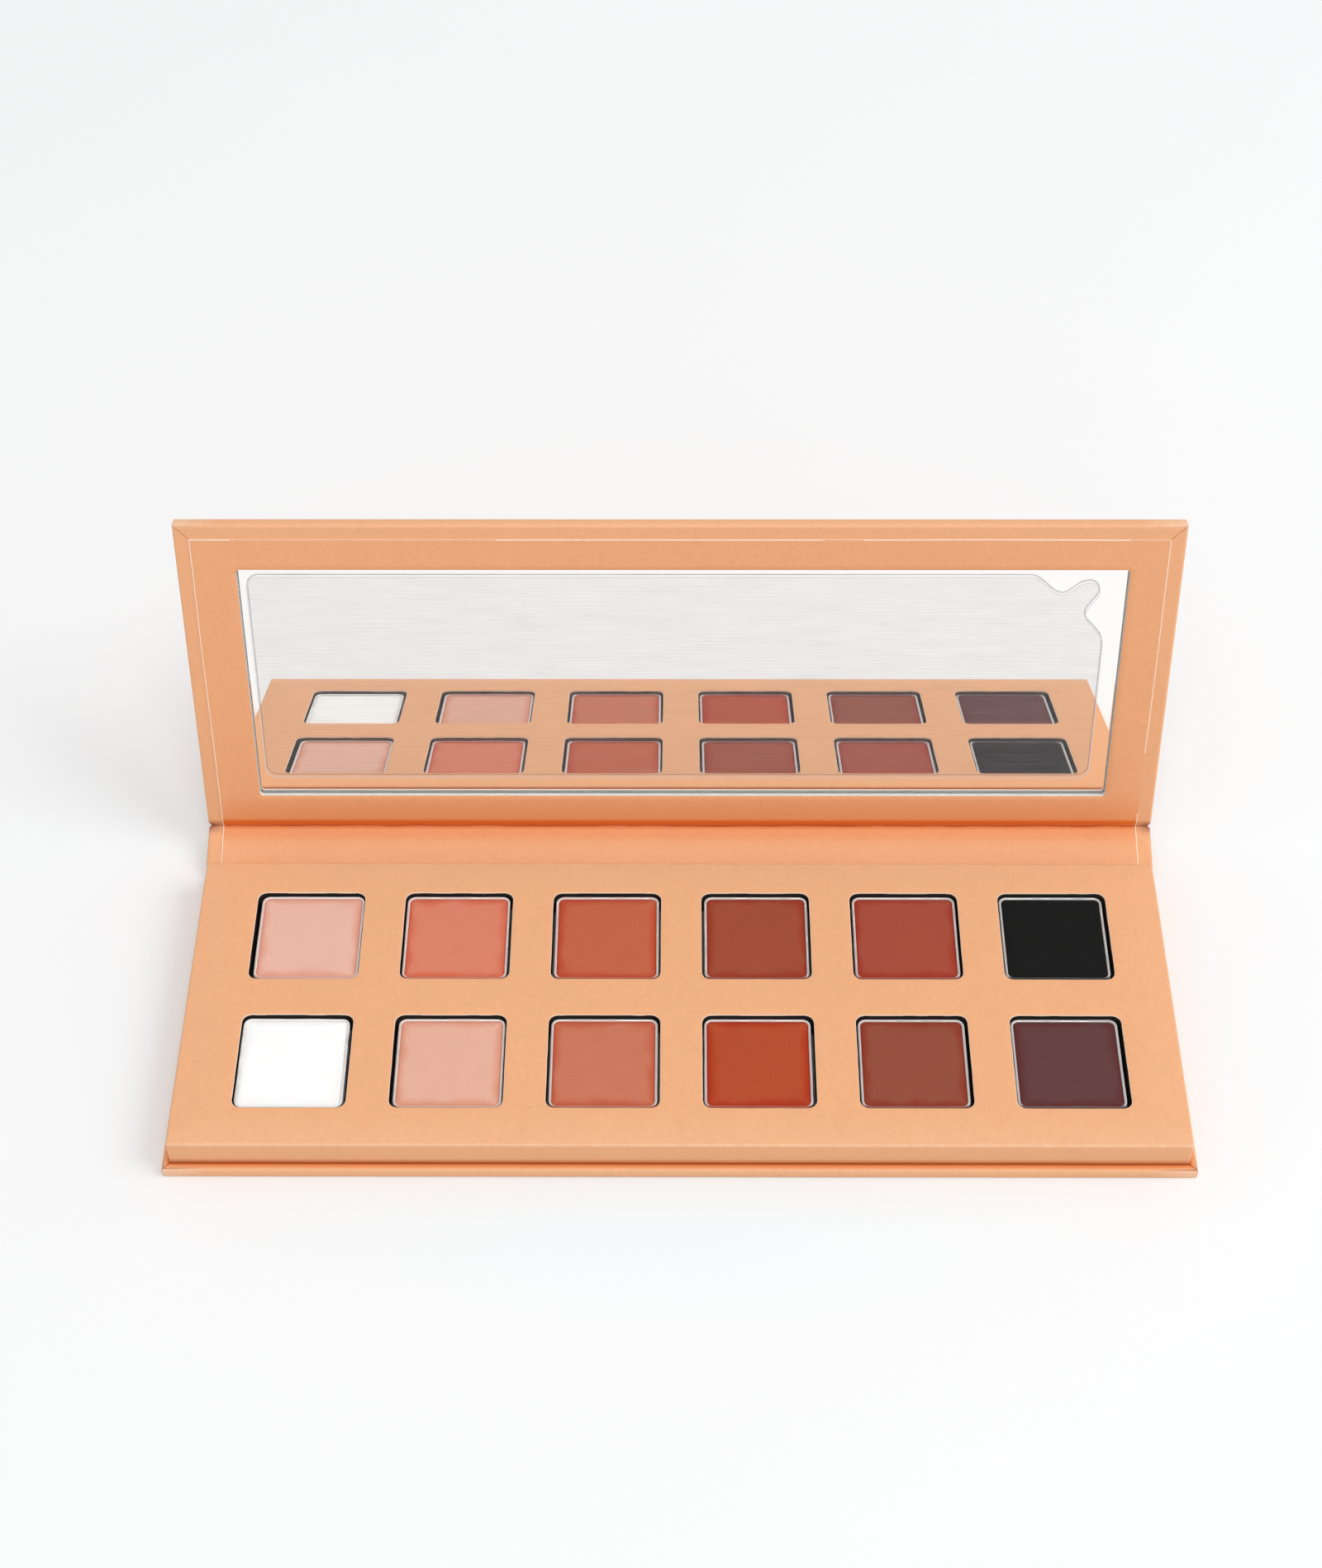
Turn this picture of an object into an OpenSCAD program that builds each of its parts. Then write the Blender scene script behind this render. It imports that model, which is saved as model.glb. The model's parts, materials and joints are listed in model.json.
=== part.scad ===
// Book-style eyeshadow palette: a paper-covered case of three boards that opens on two creases,
// a tray with twelve pans of pressed powder on the base, and a mirror let into the lid.
// Millimetres. +X is to the right, +Y to the back, +Z up.
// The origin is the centre of the base's underside. The lid is drawn standing open.

/* [Case] */
// Width of the base, spine and lid
case_w = 193; // [150:1:260]
// Depth of the base and of the lid, each measured on its own board
panel_d = 69.6; // [60:0.2:110]
// Thickness of the covered base and spine
base_t = 2.3; // [1.8:0.1:4]
// Thickness of the covered lid
lid_t = 2.8; // [2.6:0.1:4]
// Thickness of the covering and liner papers
paper_t = 0.2; // [0.1:0.05:0.3]
// Width of the covering paper that is turned in over each board's rim
turn_in = 8; // [4:0.5:9]
// Visible border between a board's outline and its liner
liner_inset = 3; // [1.5:0.5:5]

/* [Hinge] */
// Space between each crease line and the board beside it
crease_gap = 2.5; // [2.5:0.1:5]
// Space between each crease line and the spine's board
spine_gap = 2.2; // [0.5:0.1:2.5]
// Space between the tray and the shut lid
shut_gap = 0.3; // [0.2:0.1:2]
// Angle of the spine above the table as drawn
spine_open = 19.5; // [0:0.5:90]
// Angle of the lid against the spine as drawn
lid_open = 57; // [0:0.5:90]

/* [Tray] */
// Width of the tray
tray_w = 190; // [146:1:256]
// Depth of the tray
tray_d = 67.4; // [56:0.2:106]
// Height of the tray
tray_h = 6.2; // [5.5:0.1:12]
// Base that shows in front of the tray
tray_front_margin = 1.5; // [0.5:0.1:4]
// Thickness of the tray's floor board
tray_floor_t = 1; // [0.5:0.1:2]

/* [Wells] */
// Wells in each row
wells_across = 6; // [2:1:6]
// Side of each square well
well_w = 21.4; // [14:0.1:23]
// Corner radius of each well
well_r = 1.7; // [0.5:0.1:3]
// Distance between wells along a row
well_pitch = 29.4; // [24:0.1:31]
// Distance from the tray's front to the middle of the front row
front_row_y = 19; // [14:0.1:24]
// Distance between the middles of the two rows
row_pitch = 30; // [24:0.1:36]
// Sideways offset of the wells from the tray's middle
well_shift = 0.4; // [-1:0.1:1]

/* [Pans] */
// Outside width of each square pan
pan_w = 20.5; // [13:0.1:22]
// Corner radius of each pan
pan_r = 1.6; // [0.5:0.1:3]
// Thickness of the pan's tinplate
pan_wall = 0.25; // [0.15:0.05:0.5]
// Depth of the pan's rim below the tray's top
pan_recess = 0.6; // [0.3:0.1:1.5]
// Depth of the powder below the pan's rim
powder_recess = 0.1; // [0.05:0.05:1]
// How much of its own settling each pan keeps, from none to all
pan_settling = 1; // [0:0.1:1]
// Thickness of the glue dot under each pan
glue_t = 0.2; // [0.1:0.1:0.5]

/* [Mirror] */
// Width of the mirror's window in the lid
mirror_w = 171.5; // [130:0.5:236]
// Height of the mirror's window in the lid
mirror_d = 53.2; // [40:0.2:88]
// Distance from the lid's crease-side edge to the window
mirror_v = 6.7; // [5:0.1:12]
// Sideways offset of the window
mirror_shift = 0.6; // [-2:0.1:2]
// Thickness of the mirror's glass
glass_t = 0.9; // [0.8:0.1:1.2]
// Thickness of the lid's outer board
lid_back_t = 0.8; // [0.6:0.1:1]

/* [Closure] */
// Diameter of each closure magnet
magnet_d = 5; // [3:0.5:6]
// Distance between the two magnets of a pair
magnet_span = 118; // [60:1:140]

/* [Hidden] */
$fn = 48;

// Stack of the tray, from the table up
tray_z = base_t;
tray_top = tray_z + tray_h;
floor_z = tray_z + paper_t;
core_z = floor_z + tray_floor_t;
pan_z = core_z + glue_t;
pan_top = tray_top - pan_recess;
powder_top = pan_top - powder_recess;

// Places in the plan view
base_front = -panel_d / 2;
base_back = panel_d / 2;
tray_front = base_front + tray_front_margin;
tray_back = tray_front + tray_d;
row_y = [tray_front + front_row_y, tray_front + front_row_y + row_pitch];

// Creases: both lie in the outer paper
hinge_y = base_back + crease_gap;
shut_h = tray_top + shut_gap + lid_t;
spine_w = shut_h;
end_gap = 0.3;

// Lid, in its own frame: v runs from the crease to the free edge, n from the outside in
lid_v0 = crease_gap;
lid_v1 = crease_gap + panel_d;
lid_inner = lid_t - paper_t;
window_z = paper_t + lid_back_t;
adhesive_t = 0.1;
silver_t = 0.1;
film_t = 0.1;
glass_z = window_z + adhesive_t + silver_t;
glass_top = glass_z + glass_t;
mirror_fit = 0.15;
mirror_r = 0.7;
mirror_mid_v = lid_v0 + mirror_v + mirror_d / 2;

// Protective film: its margins to the window, and its pull tab
film_left = 1.5;
film_right = 3.6;
film_bottom = 3.9;
film_top = 1.9;
film_r = 2.5;
tab_cut = 14.2;
tab_r = 2.4;
tab_reach = 3.2;

// Closure magnets lie in the front margin and meet when the lid is shut
magnet_t = 1.4;
magnet_y = tray_front + 3.9;
magnet_v = hinge_y - magnet_y;
magnet_fit = 0.05;

glue_border = 10;
glue_dot_r = 4;
powder_fit = 0.05;
cut_over = 1;

ROWS = ["front", "back"];
WELLS = [for (r = [0 : 1], c = [0 : wells_across - 1]) [r, c]];
function well_name(kind, w) = str(kind, "_", ROWS[w[0]], "_", w[1] + 1);
PAN_NODES = [for (w = WELLS) well_name("pan", w)];
POWDER_NODES = [for (w = WELLS) well_name("powder", w)];

// Pressed powder shades, each row from left to right
SHADES = [
    ["#f5f4f2", "#e8af98", "#c8705c", "#b44824", "#91483c", "#623e3c"],
    ["#ecbaa7", "#e0886b", "#be5832", "#964b32", "#a0413a", "#1e1e1e"]];
PEACH = "#eaa878";
GREYBOARD = "#b9b0a2";

// How far each pan has settled sideways in its well, each row from left to right
SETTLING = [
    [-0.2, 0.2, 0, -0.15, -0.15, -0.3],
    [0.35, -0.1, 0.1, 0.05, 0, -0.2]];

// Middles of a well and of its pan
function well_x(c) = well_shift + (c - (wells_across - 1) / 2) * well_pitch;
function pan_x(w) = well_x(w[1]) + pan_settling * SETTLING[w[0]][w[1]];
function pan_y(w) = row_y[w[0]];

// Frames of the two moving boards
module on_spine() {
    translate([0, hinge_y, 0]) rotate([spine_open, 0, 0]) children();
}

module on_lid() {
    on_spine() translate([0, spine_w, 0]) rotate([lid_open, 0, 0]) children();
}

// A block from y0 to y1 and z0 to z1, centred across the case
module slab(w, y0, y1, z0, z1) {
    translate([-w / 2, y0, z0]) cube([w, y1 - y0, z1 - z0]);
}

// A rectangle with round corners, centred on the origin
module round_rect(w, d, r) {
    square([w, d - 2 * r], center = true);
    square([w - 2 * r, d], center = true);
    for (sx = [-1, 1], sy = [-1, 1]) {
        translate([sx * (w / 2 - r), sy * (d / 2 - r)]) circle(r = r);
    }
}

// The same rectangle as a block, standing on z
module round_block(w, d, r, z0, z1) {
    translate([0, 0, z0]) linear_extrude(z1 - z0) round_rect(w, d, r);
}

// Covering paper of one panel from y0 to y1: the outside sheet, the two side walls and their turn-ins,
// whose top is at h
module panel_paper(y0, y1, h) {
    difference() {
        slab(case_w, y0, y1, 0, h);
        slab(case_w - 2 * paper_t, y0 - cut_over, y1 + cut_over, paper_t, h - paper_t);
        slab(case_w - 2 * turn_in, y0 - cut_over, y1 + cut_over, paper_t, h + cut_over);
    }
}

// Rim wall and turn-in along a panel's free edge, on the side that dir points to
module free_edge_paper(edge, dir, h) {
    near = edge - dir * paper_t;
    deep = edge - dir * turn_in;
    slab(case_w, min(edge, near), max(edge, near), 0, h);
    slab(case_w, min(edge, deep), max(edge, deep), h - paper_t, h);
}

// The twelve well outlines, cut from z0 to z1
module well_cuts(z0, z1) {
    for (w = WELLS) {
        translate([well_x(w[1]), row_y[w[0]], 0]) round_block(well_w, well_w, well_r, z0, z1);
    }
}

// A pair of discs at distance y from the frame's axis
module disc_pair(y, d, z0, z1) {
    for (side = [-1, 1]) {
        translate([side * magnet_span / 2, y, z0]) cylinder(d = d, h = z1 - z0);
    }
}

module base_board() {
    color(GREYBOARD) slab(case_w - 2 * paper_t, base_front + paper_t, base_back, paper_t, base_t - paper_t);
}

module base_wrap() {
    color(PEACH) union() {
        panel_paper(base_front, base_back, base_t);
        free_edge_paper(base_front, -1, base_t);
        slab(case_w, base_back, hinge_y - end_gap, 0, paper_t);
    }
}

module base_liner() {
    color(PEACH) slab(case_w - 2 * turn_in, base_back - turn_in, base_back, base_t - paper_t, base_t);
}

module tray_glue_sheet() {
    color("#e9e4d6")
        slab(tray_w - 2 * glue_border, tray_front + glue_border, tray_back - glue_border,
            base_t - paper_t, floor_z);
}

module tray_floor_board() {
    color(GREYBOARD)
        slab(tray_w - 2 * paper_t, tray_front + paper_t, tray_back - paper_t, floor_z, core_z);
}

module tray_core() {
    color("#1d1b1b") difference() {
        slab(tray_w - 2 * paper_t, tray_front + paper_t, tray_back - paper_t, core_z, tray_top - paper_t);
        well_cuts(core_z - cut_over, tray_top + cut_over);
        disc_pair(magnet_y, magnet_d + 2 * magnet_fit, tray_top - paper_t - magnet_t, tray_top);
    }
}

module tray_wrap() {
    color(PEACH) difference() {
        slab(tray_w, tray_front, tray_back, tray_z, tray_top);
        slab(tray_w - 2 * paper_t, tray_front + paper_t, tray_back - paper_t, floor_z, tray_top - paper_t);
        slab(tray_w - 2 * turn_in, tray_front + turn_in, tray_back - turn_in, tray_z - cut_over,
            tray_z + cut_over);
        well_cuts(tray_top - cut_over, tray_top + cut_over);
    }
}

module tray_magnets() {
    color("#8f9194") disc_pair(magnet_y, magnet_d, tray_top - paper_t - magnet_t, tray_top - paper_t);
}

module pan_glue_dots() {
    color("#e9e4d6") for (w = WELLS) {
        translate([pan_x(w), pan_y(w), core_z]) cylinder(r = glue_dot_r, h = glue_t);
    }
}

module pan(w) {
    inner = pan_w - 2 * pan_wall;
    color("#c9cacb") translate([pan_x(w), pan_y(w), 0]) difference() {
        round_block(pan_w, pan_w, pan_r, pan_z, pan_top);
        round_block(inner, inner, pan_r - pan_wall, pan_z + pan_wall, pan_top + cut_over);
    }
}

module powder(w) {
    cake = pan_w - 2 * pan_wall - 2 * powder_fit;
    color(SHADES[w[0]][w[1]]) translate([pan_x(w), pan_y(w), 0])
        round_block(cake, cake, pan_r - pan_wall - powder_fit, pan_z + pan_wall, powder_top);
}

module spine_board() {
    color(GREYBOARD) on_spine() difference() {
        slab(case_w - 2 * paper_t, spine_gap, spine_w - spine_gap, paper_t, base_t - paper_t);
        for (side = [0, 1]) mirror([side, 0, 0]) {
            translate([case_w / 2 - turn_in, 0, base_t - 2 * paper_t]) cube([turn_in, spine_w, base_t]);
        }
    }
}

module spine_wrap() {
    color(PEACH) on_spine() panel_paper(end_gap, spine_w - end_gap, base_t - paper_t);
}

module spine_liner() {
    color(PEACH) on_spine()
        slab(case_w - 2 * liner_inset, end_gap, spine_w - end_gap, base_t - paper_t, base_t);
}

module lid_back_board() {
    color(GREYBOARD) on_lid()
        slab(case_w - 2 * paper_t, lid_v0, lid_v1 - paper_t, paper_t, window_z);
}

// The mirror's window, cut from z0 to z1 and made larger by grow on each side
module mirror_outline(grow, z0, z1) {
    translate([mirror_shift, mirror_mid_v, 0])
        round_block(mirror_w + 2 * grow, mirror_d + 2 * grow, mirror_r, z0, z1);
}

module lid_window_board() {
    rebate = lid_inner - paper_t;
    color("#f1ede4") on_lid() difference() {
        slab(case_w - 2 * paper_t, lid_v0, lid_v1 - paper_t, window_z, lid_inner);
        difference() {
            slab(case_w, lid_v0 - cut_over, lid_v1, rebate, lid_inner + cut_over);
            slab(case_w - 2 * turn_in, lid_v0 - 2 * cut_over, lid_v1 - turn_in, 0, lid_t + cut_over);
        }
        mirror_outline(0, 0, lid_t + cut_over);
        disc_pair(magnet_v, magnet_d + 2 * magnet_fit, lid_inner - magnet_t, lid_t + cut_over);
    }
}

module lid_wrap() {
    color(PEACH) on_lid() union() {
        panel_paper(lid_v0, lid_v1, lid_inner);
        free_edge_paper(lid_v1, 1, lid_inner);
        slab(case_w, end_gap, lid_v0, 0, paper_t);
    }
}

module lid_liner() {
    color(PEACH) on_lid() difference() {
        slab(case_w - 2 * liner_inset, lid_v0, lid_v1 - liner_inset, lid_inner, lid_t);
        mirror_outline(0, 0, lid_t + cut_over);
    }
}

module lid_magnets() {
    color("#8f9194") on_lid()
        disc_pair(magnet_v, magnet_d, lid_inner - magnet_t, lid_inner - paper_t);
}

module mirror_glass() {
    color("#dfe9e8") on_lid() mirror_outline(-mirror_fit, glass_z, glass_top);
}

module mirror_silvering() {
    color("#9aa0a0") on_lid() mirror_outline(-mirror_fit, glass_z - silver_t, glass_z);
}

module mirror_adhesive() {
    color("#e9e4d6") on_lid() mirror_outline(-turn_in / 2, window_z, window_z + adhesive_t);
}

// Film with round corners; its free top corner is cut off aslant and ends in a small pull tab
module mirror_film() {
    w = mirror_w - film_left - film_right;
    d = mirror_d - film_bottom - film_top;
    x = mirror_shift + (film_left - film_right) / 2;
    v = mirror_mid_v + (film_bottom - film_top) / 2;
    color("#e4ecee") on_lid() translate([x, v, glass_top]) linear_extrude(film_t) {
        difference() {
            round_rect(w, d, film_r);
            translate([w / 2, d / 2]) rotate(45) square([sqrt(2) * tab_cut, 3 * tab_cut], center = true);
        }
        translate([(w - tab_cut) / 2, (d - tab_cut) / 2]) rotate(-45) {
            translate([-tab_r, -tab_r]) square([2 * tab_r, tab_reach + tab_r]);
            translate([0, tab_reach]) circle(r = tab_r);
        }
    }
}

base_board();
base_wrap();
base_liner();
tray_glue_sheet();
tray_floor_board();
tray_core();
tray_wrap();
tray_magnets();
pan_glue_dots();
for (w = WELLS) {
    pan(w);
    powder(w);
}
spine_board();
spine_wrap();
spine_liner();
lid_back_board();
lid_window_board();
lid_wrap();
lid_liner();
lid_magnets();
mirror_glass();
mirror_silvering();
mirror_adhesive();
mirror_film();
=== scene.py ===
import json
import math

import bmesh
import bpy
from mathutils import Matrix, Vector, noise


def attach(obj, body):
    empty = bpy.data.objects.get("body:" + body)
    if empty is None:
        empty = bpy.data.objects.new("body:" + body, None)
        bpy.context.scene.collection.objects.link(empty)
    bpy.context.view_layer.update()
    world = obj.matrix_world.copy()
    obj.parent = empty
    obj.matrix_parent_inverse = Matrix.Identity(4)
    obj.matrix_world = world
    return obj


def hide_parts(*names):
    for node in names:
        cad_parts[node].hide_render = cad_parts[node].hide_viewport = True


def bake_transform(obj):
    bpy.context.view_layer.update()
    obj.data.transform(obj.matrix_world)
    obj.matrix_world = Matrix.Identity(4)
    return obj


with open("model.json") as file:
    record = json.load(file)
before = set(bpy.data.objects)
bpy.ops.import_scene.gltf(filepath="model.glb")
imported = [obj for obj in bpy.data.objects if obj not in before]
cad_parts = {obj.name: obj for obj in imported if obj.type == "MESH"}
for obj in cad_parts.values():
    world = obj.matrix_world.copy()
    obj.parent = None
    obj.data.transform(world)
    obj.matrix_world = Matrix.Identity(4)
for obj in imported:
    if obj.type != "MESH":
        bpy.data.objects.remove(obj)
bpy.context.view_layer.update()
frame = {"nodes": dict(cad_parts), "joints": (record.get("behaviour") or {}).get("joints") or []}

# Eyeshadow palette: the looks. Shapes are drawn in millimetres in the frame of the board they lie on
# (x across, y along the board, z from its outside to its inside) and are placed in metres at the end.
MM = 0.001
JOINTS = {joint["name"]: joint for joint in frame["joints"]}


def crease_place(name, turned):
    """Frame of a board at a crease: turned by the angle at which that crease stands open."""
    return Matrix.Translation(JOINTS[name]["pos_m"]) @ Matrix.Rotation(turned, 4, "X")


BASE_OPEN = 0.0
SPINE_OPEN = math.radians(-JOINTS["base_crease"]["range_deg"][0])
LID_OPEN = SPINE_OPEN + math.radians(-JOINTS["lid_crease"]["range_deg"][0])
BASE = Matrix.Identity(4)
SPINE = crease_place("base_crease", SPINE_OPEN)
LID = crease_place("lid_crease", LID_OPEN)


def local_box(node, place=BASE):
    """Lowest and highest corner of a CAD node in millimetres, in a board's own frame."""
    back = place.inverted()
    points = [back @ v.co for v in frame["nodes"][node].data.vertices]
    low = Vector([min(p[i] for p in points) for i in range(3)]) / MM
    high = Vector([max(p[i] for p in points) for i in range(3)]) / MM
    return low, high


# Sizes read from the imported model
_, base_hi = local_box("base_wrap")
tray_lo, tray_hi = local_box("tray_wrap")
_, lid_hi = local_box("lid_wrap", LID)
_, liner_hi = local_box("lid_liner", LID)
glass_lo, glass_hi = local_box("mirror_glass", LID)
spine_lo, spine_hi = local_box("spine_wrap", SPINE)
HALF_W = base_hi.x
BASE_H = base_hi.z
LID_H = lid_hi.z
LINER_TOP = liner_hi.z
LINER_X = liner_hi.x
HINGE_Y = JOINTS["base_crease"]["pos_m"][1] / MM
SPINE_W = spine_lo.y + spine_hi.y
PANEL_END = lid_hi.y

# Sizes of the paper work: its thickness, the hair by which it clears what it lies on, the depth of its
# turn-in, where the strip that bends in a crease ends, the radii of the folded rims, feet, mitred corners
# and tray edges, half the width of the groove along a mitre, and of the gap between two boards its half
# width, its middle's height and the covering paper's least dent
PAPER = 0.2
UNDER_GAP = 0.01
TURN_IN = 8.0
STRIP_END = 3.4
RIM_R = 0.55
FOOT_R = 0.3
MITRE_R = 0.35
TRAY_R = 0.42
MITRE_GROOVE = 0.13
GAP_HALF = 2.3
GAP_MIDDLE = 1.2
GAP_DENT = 0.12


def ripple(x, y, z, size, amount, seed=0.0):
    """Smooth random offset of up to amount, with waves about size long."""
    return amount * noise.noise(Vector((x / size + seed, y / size - seed, z / size + 2 * seed)))


def falloff(distance, reach):
    """1 at no distance, falling evenly to 0 at reach and beyond."""
    return max(0.0, 1 - distance / reach)


# ---------------------------------------------------------------- materials

class Look:
    """One procedural material in object space. Each colour is blended over the ones before it."""

    def __init__(self, name, colour, roughness=0.5, level=0.4):
        self.material = bpy.data.materials.new(name)
        self.material.use_nodes = True
        self.tree = self.material.node_tree
        self.shader = self.tree.nodes["Principled BSDF"]
        self.place = self.tree.nodes.new("ShaderNodeTexCoord").outputs["Object"]
        self.shader.inputs["Base Color"].default_value = (*colour, 1)
        self.shader.inputs["Roughness"].default_value = roughness
        self.shader.inputs["Specular IOR Level"].default_value = level
        self.colour = None
        self.plain = (*colour, 1)

    def set(self, **values):
        """Sets the shader's own sockets by name, with _ for a space."""
        for key, value in values.items():
            self.shader.inputs[key.replace("_", " ")].default_value = value
        return self

    def grain(self, size_mm, detail=3.0, stretch=(1, 1, 1)):
        """Noise from 0 to 1 with features of about size_mm."""
        mapping = self.tree.nodes.new("ShaderNodeMapping")
        mapping.inputs["Scale"].default_value = stretch
        texture = self.tree.nodes.new("ShaderNodeTexNoise")
        texture.inputs["Scale"].default_value = 1 / (size_mm * MM)
        texture.inputs["Detail"].default_value = detail
        self.tree.links.new(self.place, mapping.inputs["Vector"])
        self.tree.links.new(mapping.outputs["Vector"], texture.inputs["Vector"])
        return texture.outputs["Fac"]

    def cells(self, size_mm):
        """Distance to the nearest of points scattered about size_mm apart, as a share of size_mm."""
        texture = self.tree.nodes.new("ShaderNodeTexVoronoi")
        texture.inputs["Scale"].default_value = 1 / (size_mm * MM)
        self.tree.links.new(self.place, texture.inputs["Vector"])
        return texture.outputs["Distance"]

    def spot(self, reach_x_mm, reach_y_mm):
        """1 at the origin, falling evenly to 0 on an ellipse of these half widths."""
        mapping = self.tree.nodes.new("ShaderNodeMapping")
        mapping.inputs["Scale"].default_value = (1 / (reach_x_mm * MM), 1 / (reach_y_mm * MM), 0)
        texture = self.tree.nodes.new("ShaderNodeTexGradient")
        texture.gradient_type = "SPHERICAL"
        self.tree.links.new(self.place, mapping.inputs["Vector"])
        self.tree.links.new(mapping.outputs["Vector"], texture.inputs["Vector"])
        return texture.outputs["Fac"]

    def spread(self, value, low, high, to_low=0.0, to_high=1.0):
        """value between low and high, mapped on to_low to to_high and held there beyond."""
        node = self.tree.nodes.new("ShaderNodeMapRange")
        for key, number in zip(("From Min", "From Max", "To Min", "To Max"), (low, high, to_low, to_high)):
            node.inputs[key].default_value = number
        self.tree.links.new(value, node.inputs["Value"])
        return node.outputs["Result"]

    def times(self, a, b):
        node = self.tree.nodes.new("ShaderNodeMath")
        node.operation = "MULTIPLY"
        self.tree.links.new(a, node.inputs[0])
        self.tree.links.new(b, node.inputs[1])
        return node.outputs["Value"]

    def add(self, a, b):
        """Sum of two values, held between 0 and 1."""
        node = self.tree.nodes.new("ShaderNodeMath")
        node.use_clamp = True
        self.tree.links.new(a, node.inputs[0])
        self.tree.links.new(b, node.inputs[1])
        return node.outputs["Value"]

    def painted(self, name):
        """A value painted on the mesh's points."""
        node = self.tree.nodes.new("ShaderNodeAttribute")
        node.attribute_name = name
        return node.outputs["Fac"]

    def blend_to(self, factor, colour):
        """Mixes colour over what is there, by factor."""
        node = self.tree.nodes.new("ShaderNodeMix")
        node.data_type = "RGBA"
        self.tree.links.new(factor, node.inputs["Factor"])
        if self.colour is None:
            node.inputs["A"].default_value = self.plain
        else:
            self.tree.links.new(self.colour, node.inputs["A"])
        node.inputs["B"].default_value = (*colour, 1)
        self.colour = node.outputs["Result"]
        self.tree.links.new(self.colour, self.shader.inputs["Base Color"])
        return self

    def drive(self, socket, value):
        """Lets a value set one of the shader's sockets."""
        self.tree.links.new(value, self.shader.inputs[socket])
        return self

    def bump(self, height, depth_mm, strength):
        node = self.tree.nodes.new("ShaderNodeBump")
        node.inputs["Distance"].default_value = depth_mm * MM
        node.inputs["Strength"].default_value = strength
        self.tree.links.new(height, node.inputs["Height"])
        self.tree.links.new(node.outputs["Normal"], self.shader.inputs["Normal"])
        return self


def shade(colour, factor):
    return tuple(min(1.0, c * factor) for c in colour)


# The paper's printed colour; its pale colour where it is worn, also used for painted highlights on its edges
# and for pale specks; a dark colour for specks and real marks, also used for painted shade in creases,
# grooves and at feet;
# a deep orange, used only as painted shade where light bounced between the orange surfaces deepens the
# colour;
# and the width of the pale line that a cut edge shows from above
PEACH = (0.800, 0.408, 0.211)
PALE = (0.93, 0.74, 0.58)
STAIN_AND_SHADE = (0.22, 0.04, 0.015)
BOUNCE_SHADE_ORANGE = (0.76, 0.155, 0.006)
CUT = 0.14


def paper(name, colour):
    """Satin printed paper: fine fibre grain, soft mottling and a few specks, with worn places and dirt, and
    with painted highlights, painted shade and a deep orange painted shade for bounced light along its edges,
    creases and feet."""
    look = Look(name, colour, 0.55, 0.16)
    look.blend_to(look.spread(look.grain(9, 2), 0.35, 0.7, 0.0, 0.55), shade(colour, 0.955))
    look.blend_to(look.spread(look.grain(0.9, 3), 0.42, 0.72, 0.0, 0.6), shade(colour, 0.91))
    look.blend_to(look.spread(look.grain(0.28, 2), 0.5, 0.75, 0.0, 0.6), shade(colour, 1.10))
    # Painted shade: deep orange where light bounced between the orange surfaces deepens the colour
    look.blend_to(look.painted("deep"), BOUNCE_SHADE_ORANGE)
    nicks = look.spread(look.grain(1.6, 3), 0.25, 0.75, 0.35, 1.0)
    # Pale where worn, and painted highlights along rounded edges and ridges, broken up by nicks
    look.blend_to(look.times(look.painted("wear_and_painted_highlight"), nicks), PALE)
    # Dark painted shade in creases, grooves and at feet, together with a few real marks, from one painted
    # value
    look.blend_to(look.painted("stain_and_painted_shade"), STAIN_AND_SHADE)
    look.blend_to(look.spread(look.cells(4.5), 0.018, 0.028, 0.6, 0.0), STAIN_AND_SHADE)
    look.blend_to(look.spread(look.cells(5.2), 0.016, 0.024, 0.7, 0.0), PALE)
    look.drive("Roughness", look.spread(look.grain(1.4, 2), 0.3, 0.7, 0.48, 0.62))
    return look.bump(look.grain(0.35, 4), 0.012, 0.5).material


def cut_edge(name, colour):
    """Raw cut edge of paper or board: pale fibres in thin layers."""
    look = Look(name, colour, 0.8, 0.2)
    look.blend_to(look.spread(look.grain(0.5, 4), 0.4, 0.7, 0.0, 0.7), shade(colour, 0.86))
    return look.bump(look.grain(0.2, 3), 0.02, 0.5).material


def board(name, colour, flecks):
    """Pulp board: fibres, darker flecks and a matt broken surface."""
    look = Look(name, colour, 0.88, 0.15)
    look.blend_to(look.spread(look.grain(1.2, 5, (1, 2.5, 1)), 0.4, 0.68, 0.0, 0.6), shade(colour, 0.8))
    look.blend_to(look.spread(look.grain(0.45, 3), 0.62, 0.74, 0.0, 0.7), flecks)
    return look.bump(look.grain(0.3, 5, (1, 3, 1)), 0.04, 0.8).material


def tinplate(name, powder):
    """Thin bright tinplate with drawing marks, dusty round its rim, with powder smeared over its front."""
    look = Look(name, (0.84, 0.83, 0.81), 0.28, 0.5).set(Metallic=1.0)
    look.blend_to(look.spread(look.grain(3.2, 3), 0.35, 0.7, 0.0, 0.5), (0.66, 0.65, 0.64))
    dust = look.spread(look.grain(2.8, 3), 0.35, 0.66, 0.25, 0.8)
    look.blend_to(dust, tuple(0.5 * c + 0.38 for c in powder))
    look.blend_to(look.painted("smear"), shade(powder, 0.9))
    covered = look.add(dust, look.painted("smear"))
    look.drive("Metallic", look.spread(covered, 0, 1, 1.0, 0.15))
    look.drive("Roughness", look.spread(covered, 0, 1, 0.22, 0.75))
    return look.bump(look.grain(0.5, 3), 0.02, 0.6).material


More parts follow.
